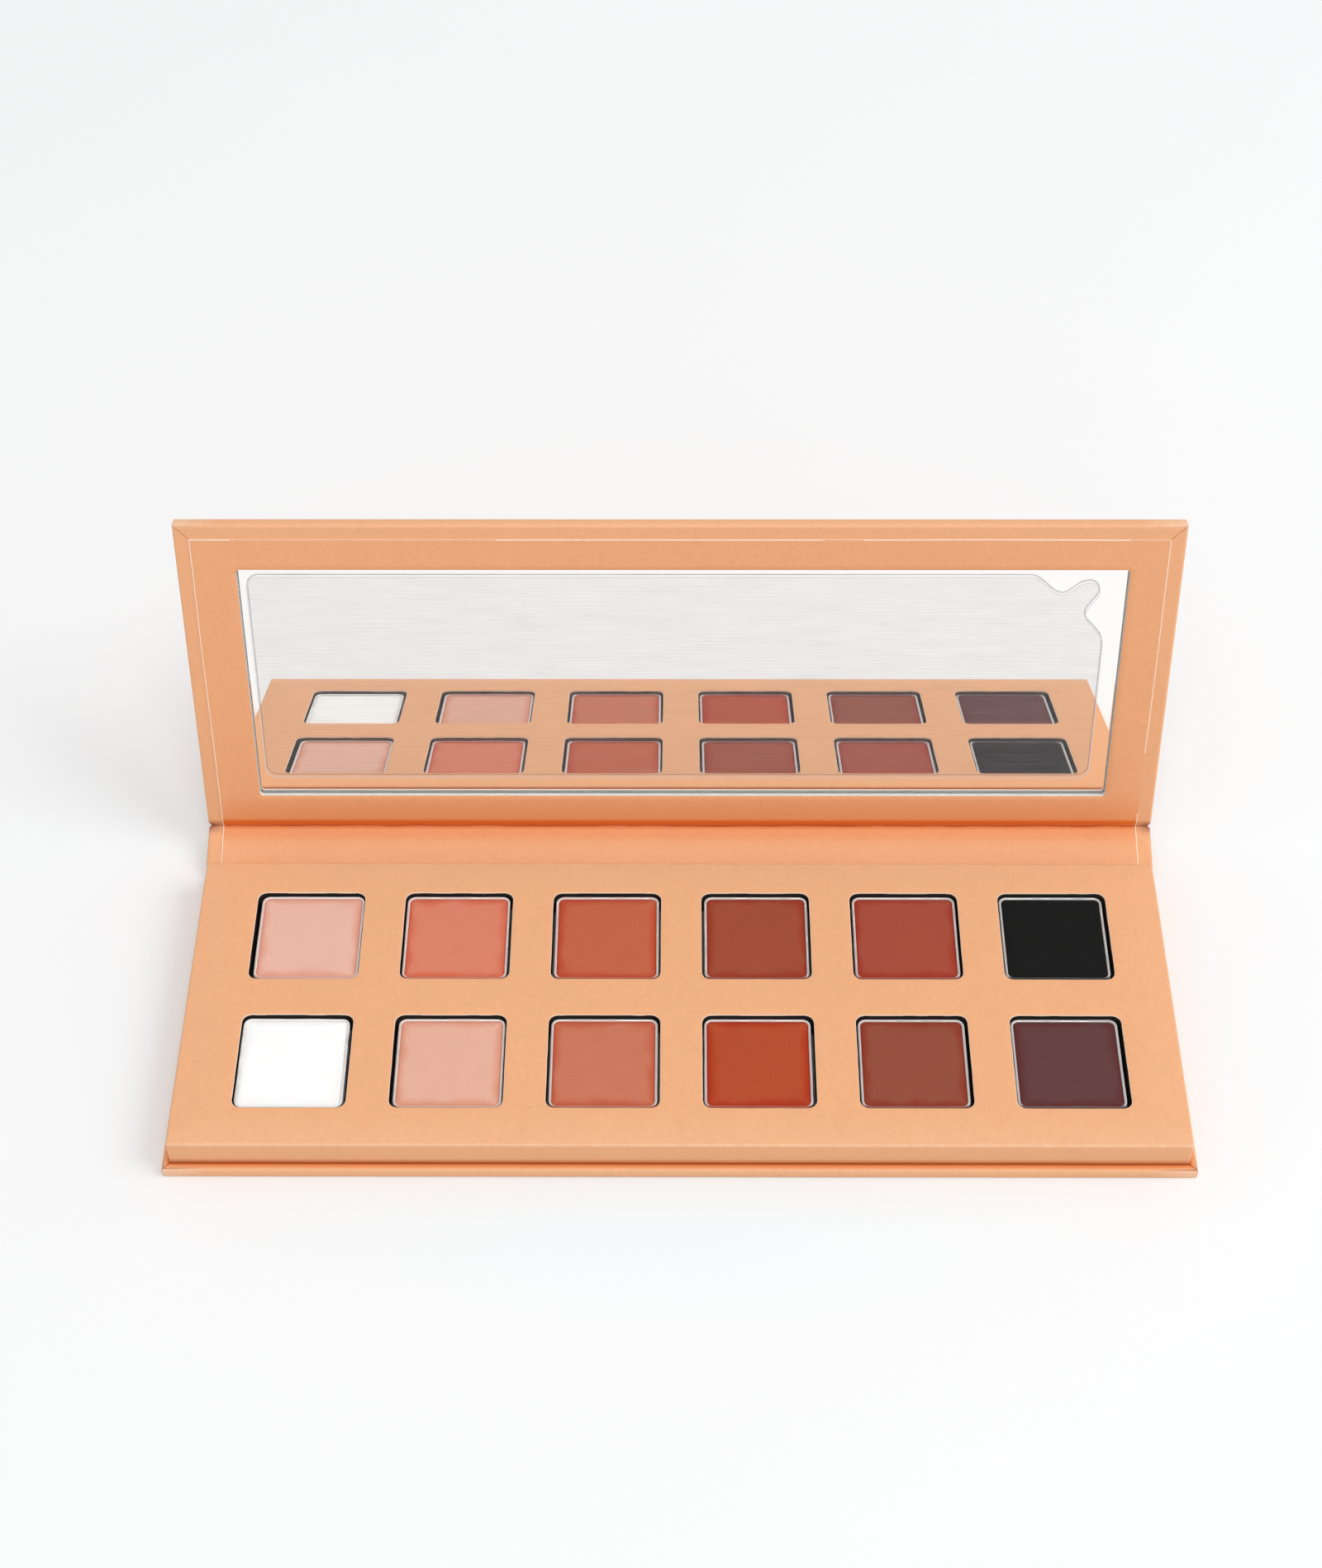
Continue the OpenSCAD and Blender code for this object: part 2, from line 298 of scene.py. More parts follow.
def pressed_powder(name, colour, deep):
    """Matt pressed powder with a fine cloth-pressed grain, deeper in colour along its edge."""
    look = Look(name, colour, 0.92, 0.12)
    look.blend_to(look.spread(look.grain(3.5, 3), 0.4, 0.7, 0.0, 0.4), shade(colour, 0.93))
    look.blend_to(look.spread(look.grain(0.30, 2), 0.48, 0.75, 0.0, 0.8), shade(colour, 1.16))
    look.blend_to(look.spread(look.cells(0.55), 0.0, 0.25, 0.45, 0.0), shade(colour, 0.80))
    look.blend_to(look.painted("rim"), deep)
    look.blend_to(look.spread(look.grain(0.16, 1), 0.72, 0.78, 0.0, 0.6), shade(colour, 1.35))
    return look.bump(look.grain(0.2, 4), 0.035, 0.7).material


def adhesive(name):
    """Dried glue: cloudy, slightly glossy and uneven."""
    look = Look(name, (0.80, 0.76, 0.66), 0.4, 0.4)
    look.blend_to(look.spread(look.grain(2.5, 4), 0.4, 0.7, 0.0, 0.7), (0.66, 0.61, 0.50))
    return look.bump(look.grain(0.8, 3), 0.03, 0.6).material


def magnet_metal(name):
    """Nickel-plated magnet with handling marks."""
    look = Look(name, (0.58, 0.58, 0.59), 0.22, 0.5).set(Metallic=1.0)
    look.blend_to(look.spread(look.grain(0.7, 3), 0.4, 0.7, 0.0, 0.6), (0.40, 0.40, 0.41))
    return look.bump(look.grain(0.3, 3), 0.01, 0.4).material


def silver(name):
    """The mirror's silver coat, very slightly clouded."""
    look = Look(name, (1.0, 0.985, 0.965), 0.0, 0.5).set(Metallic=1.0)
    look.blend_to(look.spread(look.grain(14, 2), 0.35, 0.7, 0.0, 0.5), (0.99, 0.975, 0.955))
    return look.material


def glass(name):
    """Clear sheet glass."""
    look = Look(name, (1.0, 0.995, 0.985), 0.0, 0.5).set(Transmission_Weight=1.0, IOR=1.5)
    look.blend_to(look.spread(look.grain(20, 2), 0.35, 0.7, 0.0, 0.3), (1.0, 0.99, 0.98))
    return look.material


def glass_edge(name):
    """Ground edge of the glass."""
    look = Look(name, (0.78, 0.82, 0.82), 0.35, 0.6)
    look.blend_to(look.spread(look.grain(0.6, 3), 0.4, 0.7, 0.0, 0.7), (0.68, 0.73, 0.74))
    return look.bump(look.grain(0.3, 3), 0.02, 0.6).material


def film(name, alpha_low, alpha_high, colour):
    """Clear film with a haze between alpha_low and alpha_high in fine lengthwise rubs."""
    look = Look(name, colour, 0.12, 0.35)
    look.blend_to(look.spread(look.grain(6, 3), 0.35, 0.7, 0.0, 0.6), shade(colour, 0.85))
    rubbed = look.grain(0.22, 2, (0.02, 1, 1))
    look.drive("Alpha", look.spread(rubbed, 0.3, 0.75, alpha_low, alpha_high))
    look.material.surface_render_method = "BLENDED"
    return look.material


POWDERS = {
    "front_1": (0.93, 0.93, 0.92), "front_2": (0.72, 0.40, 0.30), "front_3": (0.53, 0.17, 0.10),
    "front_4": (0.42, 0.07, 0.025), "front_5": (0.27, 0.07, 0.042), "front_6": (0.115, 0.045, 0.045),
    "back_1": (0.75, 0.44, 0.35), "back_2": (0.65, 0.21, 0.13), "back_3": (0.50, 0.12, 0.06),
    "back_4": (0.32, 0.07, 0.035), "back_5": (0.35, 0.07, 0.042), "back_6": (0.009, 0.009, 0.009)}
COVER = paper("covering_paper", PEACH)
LINER = paper("liner_paper", PEACH)
COVER_EDGE = cut_edge("paper_cut_edge", (0.90, 0.72, 0.58))
LINER_EDGE = cut_edge("liner_cut_edge", (0.93, 0.82, 0.73))
GREYBOARD = board("greyboard", (0.42, 0.38, 0.32), (0.22, 0.19, 0.16))
WHITE_BOARD = board("white_board", (0.86, 0.84, 0.80), (0.70, 0.66, 0.60))
BLACK_BOARD = board("black_board", (0.026, 0.021, 0.018), (0.12, 0.10, 0.085))
GLUE = adhesive("adhesive")
STEEL = magnet_metal("magnet_metal")
SILVER = silver("mirror_silvering")
GLASS = glass("mirror_glass")
GLASS_EDGE = glass_edge("mirror_glass_edge")
FILM = film("protective_film", 0.03, 0.085, (0.49, 0.49, 0.53))
FILM_EDGE = film("protective_film_edge", 0.45, 0.72, (0.72, 0.72, 0.74))


# ---------------------------------------------------------------- mesh helpers

# Places of a piece's two materials: the one of its surface, and the one of its cut or ground edges
SURFACE, EDGE = 0, 1


def grid(mesh, rows, closed=False, slot=SURFACE):
    """Faces between successive rows of points, and round each row if it is closed. Rows along +x that
    follow each other towards +y make a sheet that faces +z."""
    made = [[mesh.verts.new(p) for p in row] for row in rows]
    for near, far in zip(made, made[1:]):
        count = len(near)
        for i in range(count if closed else count - 1):
            j = (i + 1) % count
            face = mesh.faces.new((near[i], near[j], far[j], far[i]))
            face.material_index = slot
    return made


def clean(mesh):
    """Joins points that meet and drops the faces that this leaves without area."""
    bmesh.ops.remove_doubles(mesh, verts=mesh.verts, dist=1e-4)
    bmesh.ops.dissolve_degenerate(mesh, edges=mesh.edges, dist=1e-4)


def thicken(mesh, depth, edge_slot, straight_down=None):
    """Turns an open surface into a closed sheet under it. Its cut edges take edge_slot. Where
    straight_down(point) is true, the depth is taken along z and not along the surface's normal."""
    clean(mesh)
    mesh.normal_update()
    rim = [edge.link_loops[0] for edge in mesh.edges if edge.is_boundary]
    rim = [(loop.vert, loop.link_loop_next.vert) for loop in rim]
    tops = list(mesh.faces)
    under = {}
    for vert in list(mesh.verts):
        down = straight_down is not None and straight_down(vert.co)
        normal = Vector((0, 0, 1)) if down else vert.normal
        under[vert] = mesh.verts.new(vert.co - normal * depth)
    for face in tops:
        back = mesh.faces.new([under[v] for v in reversed(face.verts)])
        back.material_index = face.material_index
    for a, b in rim:
        edge = mesh.faces.new((b, a, under[a], under[b]))
        edge.material_index = edge_slot


def capped(rows):
    """Closed body whose loops run from the middle of its top, round its side, to the middle underneath."""
    mesh = bmesh.new()
    made = grid(mesh, rows[::-1], closed=True)
    mesh.faces.new(made[0][::-1])
    mesh.faces.new(made[-1])
    bmesh.ops.recalc_face_normals(mesh, faces=mesh.faces)
    return mesh


def make_piece(name, mesh, place, materials, replaces=(), body=None, paint=None, sharp=40, flat=None):
    """Turns a millimetre bmesh in a board's frame into a finished piece. paint gives the values painted on
    its points, sharp the angle in degrees above which an edge shows, flat the material left unsmoothed."""
    clean(mesh)
    data = bpy.data.meshes.new(name)
    mesh.to_mesh(data)
    mesh.free()
    for key, value in (paint or {}).items():
        layer = data.attributes.new(key, "FLOAT", "POINT")
        layer.data.foreach_set("value", [value(v.co) for v in data.vertices])
    data.transform(place @ Matrix.Scale(MM, 4))
    for polygon in data.polygons:
        polygon.use_smooth = polygon.material_index != flat
    data.set_sharp_from_angle(angle=math.radians(sharp))
    for material in materials:
        data.materials.append(material)
    piece = bpy.data.objects.new(name, data)
    bpy.context.scene.collection.objects.link(piece)
    if replaces:
        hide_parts(*replaces)
    if body:
        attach(piece, body)
    return piece


def corner_loop(xs, ys, grow, z, arc=4):
    """Loop round the points xs by ys, pushed out by grow with round corners, anticlockwise."""
    loop = []
    sides = (
        (xs[0], ys[0], 180, [(x, ys[0] - grow) for x in xs[1:-1]]),
        (xs[-1], ys[0], 270, [(xs[-1] + grow, y) for y in ys[1:-1]]),
        (xs[-1], ys[-1], 0, [(x, ys[-1] + grow) for x in reversed(xs[1:-1])]),
        (xs[0], ys[-1], 90, [(xs[0] - grow, y) for y in reversed(ys[1:-1])]))
    for cx, cy, start, side in sides:
        for step in range(arc + 1):
            turn = math.radians(start + 90 * step / arc)
            loop.append(Vector((cx + grow * math.cos(turn), cy + grow * math.sin(turn), z)))
        loop.extend(Vector((x, y, z)) for x, y in side)
    return loop


def span(start, end, count):
    """Both ends and the places between them that part the stretch into count equal steps."""
    return [start + (end - start) * i / count for i in range(count + 1)]


def square_loop(cx, cy, half_w, half_d, radius, z, count=6, arc=4):
    """Loop of a rectangle with round corners."""
    xs = span(cx - half_w + radius, cx + half_w - radius, count)
    ys = span(cy - half_d + radius, cy + half_d - radius, count)
    return corner_loop(xs, ys, radius, z, arc)


def cell_loop(x0, x1, y0, y1, z, count=6, arc=4):
    """The straight-sided loop that has the same number of points as square_loop."""
    steps = count + arc
    corners = ((x0, y0), (x1, y0), (x1, y1), (x0, y1))
    loop = []
    for k, (ax, ay) in enumerate(corners):
        bx, by = corners[(k + 1) % 4]
        for i in range(steps):
            loop.append(Vector((ax + (bx - ax) * i / steps, ay + (by - ay) * i / steps, z)))
    half = arc // 2
    return loop[-half:] + loop[:-half]


def quarter(radius, count=4):
    """Offsets of a rounded edge, from the flat top round to the upright wall: (inset, drop)."""
    turns = [math.pi / 2 * i / count for i in range(count + 1)]
    return [(radius * (1 - math.sin(t)), radius * (1 - math.cos(t))) for t in turns]


# ---------------------------------------------------------------- covered boards

def rim_profile(height):
    """The covering paper's section from the end of its turn-in, round the rim, to the underside."""
    top = [(inset, height - drop) for inset, drop in quarter(RIM_R)]
    bottom = [(inset, drop) for inset, drop in reversed(quarter(FOOT_R))]
    flat = [(inset, height) for inset in (TURN_IN, 2.6, 1.8, 1.48, 1.38, 1.25, 1.05, 0.8)]
    return flat + top + bottom + [(0.8, 0.0), (3.0, 0.0)]


def panel_path(inset, z, crease_side, end, steps=18):
    """One line of the covering paper: up the left side, across the free edge and down the right. A line
    further in than the corner's radius dips where it crosses the mitre."""
    left_end = end - (MITRE_R if inset <= MITRE_R else inset + 2 * MITRE_GROOVE)
    left = [Vector((-HALF_W + inset, y, z)) for y in span(crease_side, left_end, steps)]
    corner = []
    corner_steps = 4
    for i in range(corner_steps + 1):
        share = i / corner_steps
        if inset <= MITRE_R:
            turn = math.radians(180 - 90 * share)
            reach = MITRE_R - inset
            centre = Vector((-HALF_W + MITRE_R, end - MITRE_R, z))
            corner.append(centre + Vector((math.cos(turn), math.sin(turn), 0)) * reach)
        else:
            aside = (share - 0.5) * 2 * MITRE_GROOVE
            drop = 0.0 if z < 1 else 0.18 * (1 - abs(aside) / MITRE_GROOVE)
            x = -HALF_W + inset + max(0.0, aside)
            y = end - inset - max(0.0, -aside)
            corner.append(Vector((x, y, z - drop)))
    left.extend(corner)
    top = [Vector((x, end - inset, z)) for x in span(-HALF_W + TURN_IN + 1, HALF_W - TURN_IN - 1, 40)]
    right = [Vector((-p.x, p.y, p.z)) for p in reversed(left)]
    return left + top + right


def tray_shade(place, p, reach):
    """1 on the base's margin at the tray's foot, falling to 0 at reach from it."""
    if place is not BASE_PANEL or p.z < BASE_H - 0.4:
        return 0.0
    away = max(abs(p.x) - tray_hi.x, HINGE_Y - p.y - tray_hi.y, tray_lo.y - HINGE_Y + p.y)
    return falloff(max(0.0, away), reach)


def covered_panel(name, place, body, replaced, height):
    """Covering paper of the base or the lid, turned in over three rims and mitred at two corners."""
    mesh = bmesh.new()
    rows = [panel_path(inset, z, STRIP_END, PANEL_END) for inset, z in rim_profile(height)]
    for row, (inset, z) in zip(rows, rim_profile(height)):
        if z <= 0.3 or inset >= 5:
            continue
        for p in row:
            fade = min(1.0, (p.y - STRIP_END) / 4)
            p.z += fade * ripple(p.x, p.y, 0, size=7, amount=0.035, seed=3.1)
            p.z = max(p.z, 0.0)
    made = grid(mesh, rows)
    mesh.faces.new(made[-1])
    thicken(mesh, PAPER, EDGE)

    # Worn corners, and a faint pale line along the top of the rims that is partly worn and partly a painted
    # highlight
    def wear_and_painted_highlight(p):
        side = HALF_W - abs(p.x)
        end = PANEL_END - p.y
        on_rim = falloff(min(side, end), 0.5) if p.z > height / 2 else 0.0
        corner = falloff(math.hypot(side, end), 1.2)
        return min(1.0, on_rim * 0.12 + 0.6 * corner)

    # Painted shade along the mitre groove, and painted contact shade on the base's margin at the tray's foot
    def stain_and_painted_shade(p):
        side = HALF_W - abs(p.x)
        end = PANEL_END - p.y
        mitre = falloff(abs(side - end), MITRE_GROOVE) if p.z > 0.4 else 0.0
        return max(mitre * (0.9 if place is BASE_PANEL else 0.35), 0.6 * tray_shade(place, p, 0.4))

    # Deep orange painted shade on the base's margin by the tray's foot
    def deep(p):
        return 0.9 * tray_shade(place, p, 1.2)

    return make_piece(name, mesh, place, (COVER, COVER_EDGE), (replaced,), body,
                      {"wear_and_painted_highlight": wear_and_painted_highlight, "stain_and_painted_shade": stain_and_painted_shade, "deep": deep})


# The base's own board frame runs from its crease to its front edge
BASE_PANEL = Matrix.Translation((0, HINGE_Y * MM, 0)) @ Matrix.Rotation(math.pi, 4, "Z")
covered_panel("base_cover", BASE_PANEL, "base", "base_wrap", BASE_H)
covered_panel("lid_cover", LID, "lid", "lid_wrap", LID_H)


# ---------------------------------------------------------------- creases

class Crease:
    """The papers that bend between two boards. Stations run from the first board to the second; each has
    the liner's visible surface and the covering paper's outside, both in the shared y-z plane."""

    def __init__(self, joint, first_turn, second_turn, first, fold, second, first_end, second_end):
        """first and second are the liner's section on each board and fold its height between them.
        first_end and second_end are how far the covering paper runs on each board."""
        crowding = 1.2
        self.first = crease_place(joint, first_turn)
        self.second = crease_place(joint, second_turn)
        opening = second_turn - first_turn
        self.inner = [self.at(self.first, *p) for p in first]
        fold_along = fold * math.tan(opening / 2)
        self.inner.append(self.at(self.second, fold_along, fold))
        self.inner.extend(self.at(self.second, *p) for p in second)
        self.fold = len(first)
        self.outer = []
        for i in range(len(first)):
            along = -first_end * (1 - i / len(first)) ** crowding
            self.outer.append(self.at(self.first, along, self.dent(along)))
        self.outer.append(self.at(self.second, 0, GAP_DENT))
        for i in range(len(second)):
            along = second_end * ((i + 1) / len(second)) ** crowding
            self.outer.append(self.at(self.second, along, self.dent(along)))
        self.start = self.first @ Vector((0, -GAP_HALF * MM, GAP_MIDDLE * MM))
        self.end = self.second @ Vector((0, GAP_HALF * MM, GAP_MIDDLE * MM))

    @staticmethod
    def at(place, along, height):
        """A point of a board's own frame, in the shared frame, both in millimetres."""
        return place @ Vector((0, along * MM, height * MM)) / MM

    @staticmethod
    def dent(along):
        """Depth to which the covering paper is pressed into the gap between the boards."""
        share = max(0.0, 1 - (abs(along) / GAP_HALF) ** 2)
        return GAP_DENT + 0.2 * (1 - abs(2 * share - 1)) if share > 0 else 0.0

    def liner(self, name, bodies, replaced, flank):
        """Liner over the crease. flank is the share of the deep orange painted shade on the second board's
        edge.
        """
        mesh = bmesh.new()
        xs = [-LINER_X, -LINER_X + CUT] + span(-LINER_X + 0.6, LINER_X - 0.6, 150) + [LINER_X - CUT, LINER_X]
        rows = []
        for k, point in enumerate(self.inner):
            near = falloff(abs(k - self.fold), 2.2)
            row = []
            for x in xs:
                wave = ripple(x, k * 0.3, 0, size=5, amount=0.16, seed=7.7)
                crinkle = ripple(x, 0, k, size=1.7, amount=0.05, seed=1.3)
                lean = near * ripple(x, 0, 0, size=9, amount=0.10, seed=4.4)
                row.append(Vector((x, point.y + lean, point.z + near * (wave + crinkle))))
            rows.append(row)
        grid(mesh, rows)
        for face in mesh.faces:
            if abs(face.calc_center_median().x) > LINER_X - CUT:
                face.material_index = EDGE
        thicken(mesh, PAPER, EDGE)
        ridge = self.inner[self.fold - 1]
        valley = self.inner[self.fold]
        first_back, second_back = self.first.inverted(), self.second.inverted()

        # Deep orange painted shade on the lid's flank of the groove, and less of it on the spine side
        def deep(p):
            beyond = (second_back @ (p * MM)).y / MM
            before = -(first_back @ (p * MM)).y / MM
            if beyond > 0.9:
                return flank * max(0.5, 1 - max(0.0, beyond - 3.0) / 0.8)
            return 0.36 * flank * min(1.0, max(0.0, (5.0 - before) / 1.4))

        # Painted shade in the crease's valley
        def stain_and_painted_shade(p):
            away = math.hypot(p.y - valley.y, p.z - valley.z)
            return 0.40 * falloff(away, 0.5)

        # Painted highlight along the ridge just before the fold
        def wear_and_painted_highlight(p):
            away = math.hypot(p.y - ridge.y, p.z - ridge.z)
            return 0.30 * falloff(away, 0.30)

        piece = make_piece(name, mesh, BASE, (LINER, LINER_EDGE), replaced,
                           paint={"stain_and_painted_shade": stain_and_painted_shade, "wear_and_painted_highlight": wear_and_painted_highlight, "deep": deep})
        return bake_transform(piece)

    def cover(self, name, bodies, replaced, first_height, second_height):
        """Covering paper over the outside of the crease and round its two ends, where it is pinched."""
        mesh = bmesh.new()
        rows = []
        for k, (outer, liner) in enumerate(zip(self.outer, self.inner)):
            share = k / (len(self.inner) - 1)
            height = first_height + (second_height - first_height) * share
            profile = rim_profile(height)
            up = (liner - outer).normalized()
            inner = liner - up * PAPER
            pinch = falloff(abs(k - self.fold), 2.6)
            left = []
            for inset, z in profile:
                rise = min(1.0, max(0.0, z / height))
                pull = pinch * (0.6 - 0.2 * abs(2 * rise - 1)) * falloff(inset, 3)
                squeeze = 1 - 0.35 * pinch * falloff(inset, 2)
                p = outer + (inner - outer) * (0.5 + (rise - 0.5) * squeeze)
                left.append(Vector((-HALF_W + inset + pull, p.y, p.z)))
            rows.append(left + [Vector((-p.x, p.y, p.z)) for p in reversed(left)])
        grid(mesh, rows[::-1])
        thicken(mesh, PAPER * 0.9, EDGE)
        valley = self.inner[self.fold]

        # Painted shade round the crease's valley, at its two pinched ends
        def stain_and_painted_shade(p):
            away = math.hypot(p.y - valley.y, p.z - valley.z)
            return 0.95 * falloff(away, 1.8) * falloff(HALF_W - abs(p.x), 4)

        piece = make_piece(name, mesh, BASE, (COVER, COVER_EDGE), replaced,
                           paint={"stain_and_painted_shade": stain_and_painted_shade, "wear_and_painted_highlight": lambda p: 0.0})
        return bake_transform(piece)


# Middle of the spine, where both creases' papers meet, and how far the lower liner runs in under the tray
MID_SPINE = SPINE_W / 2
TRAY_REACH = 10.5

# Sections of the liner at the creases: (distance from the crease, height over the board's outside) on the
# first board, the height of the fold between them, and the same pairs on the second board
UPPER_FIRST = [(-MID_SPINE, 2.3), (-4.6, 2.3), (-4.1, 2.3), (-3.7, 2.295), (-3.2, 2.29), (-2.7, 2.27),
               (-2.3, 2.22), (-1.95, 2.18), (-1.65, 2.22), (-1.45, 2.29), (-1.32, 2.27)]
UPPER_FOLD = 2.13
UPPER_SECOND = [(1.4, 2.24), (1.75, 2.36), (2.1, 2.49), (2.4, 2.61), (2.6, 2.70), (2.75, 2.765),
                (2.95, LINER_TOP), (STRIP_END, LINER_TOP)]
LOWER_FIRST = [(-TRAY_REACH, 2.3), (-STRIP_END, 2.3), (-2.7, 2.28), (-2.1, 2.2), (-1.5, 2.12), (-0.9, 2.1)]
LOWER_FOLD = 2.1
LOWER_SECOND = [(0.9, 2.1), (1.5, 2.14), (2.1, 2.25), (2.7, 2.29), (3.3, 2.3), (MID_SPINE, 2.3)]
upper = Crease("lid_crease", SPINE_OPEN, LID_OPEN,
               UPPER_FIRST, UPPER_FOLD, UPPER_SECOND, MID_SPINE, STRIP_END)
lower = Crease("base_crease", BASE_OPEN, SPINE_OPEN,
               LOWER_FIRST, LOWER_FOLD, LOWER_SECOND, STRIP_END, MID_SPINE)
upper.liner("upper_hinge_liner", ("spine", "lid"), ("spine_liner",), 0.85)
lower.liner("lower_hinge_liner", ("base", "spine"), ("base_liner",), 0.0)
upper.cover("upper_hinge_cover", ("spine", "lid"), ("spine_wrap",), BASE_H - PAPER, LID_H)


def short_lower():
    """The lower crease's covering paper starts where the base's own cover ends."""
    first = [(-STRIP_END, BASE_H + PAPER)] + LOWER_FIRST[2:]
    return Crease("base_crease", BASE_OPEN, SPINE_OPEN,
                  first, LOWER_FOLD, LOWER_SECOND, STRIP_END, MID_SPINE)


short_lower().cover("lower_hinge_cover", ("base", "spine"), (), BASE_H, BASE_H - PAPER)


# ---------------------------------------------------------------- lid liner with the mirror's window

def lid_liner():
    """Liner paper of the lid, slightly unevenly cut, with the window for the mirror."""
    mesh = bmesh.new()
    x0, x1 = -LINER_X, LINER_X
    y0, y1 = STRIP_END, liner_hi.y
    window_lo, window_hi = local_box("mirror_silvering", LID)
    fit = 0.15
    window_r = 0.7
    side_points = 44
    cx, cy = (window_lo.x + window_hi.x) / 2, (window_lo.y + window_hi.y) / 2
    half_w, half_d = window_hi.x - cx + fit, window_hi.y - cy + fit
    rows = []
    for inset in (0.0, CUT):
        rows.append(cell_loop(x0 + inset, x1 - inset, y0 + inset, y1 - inset, LINER_TOP, side_points))
    for row in rows:
        for p in row:
            if p.y > y0 + 0.5:
                p.x += ripple(p.x, p.y, 0, size=30, amount=0.12, seed=5.0)
                p.y += ripple(p.x, p.y, 9, size=30, amount=0.12, seed=8.0)
    for grow, drop in ((1.2, 0), (0.08, 0), (0.0, 0.05)):
        height = LINER_TOP - drop
        rows.append(square_loop(cx, cy, half_w + grow, half_d + grow, window_r + grow, height, side_points))
    grid(mesh, rows, closed=True)
    for face in mesh.faces:
        middle = face.calc_center_median()
        if min(x1 - abs(middle.x), y1 - middle.y) < CUT * 0.8:
            face.material_index = EDGE
    thicken(mesh, PAPER - UNDER_GAP, EDGE, straight_down=lambda p: True)

    # Only a real dark mark here, near the liner's top right corner
    def stain_and_painted_shade(p):
        spot = math.hypot(p.x - x1 + 1.3, p.y - y1 + 1.6)
        return 0.8 * falloff(spot, 1.0)

    # Deep orange painted shade for bounced light, strongest at the lid's lower edge and fading over 6 mm to
    # a faint tint
    def deep(p):
        return 0.40 - 0.32 * min(1.0, (p.y - y0) / 6.0)

    make_piece("lid_liner_sheet", mesh, LID, (LINER, LINER_EDGE), ("lid_liner",), "lid",
               {"stain_and_painted_shade": stain_and_painted_shade, "deep": deep})


lid_liner()


# ---------------------------------------------------------------- tray

def row_middle(row):
    """y of the middle of a row of wells, from its first packed pan."""
    lo, hi = local_box(f"pan_{row}_1")
    return (lo.y + hi.y) / 2


# Two rows of wells at an even pitch, their middle a little right of the tray's
ROWS = ("front", "back")
COLUMNS = 6
ROW_Y = [row_middle(row) for row in ROWS]
WELL_HALF = 10.7
WELL_R = 1.7
PAN_R = 1.6
PITCH = 29.4
SHIFT = 0.4
WELL_X = [SHIFT + (c - (COLUMNS - 1) / 2) * PITCH for c in range(COLUMNS)]


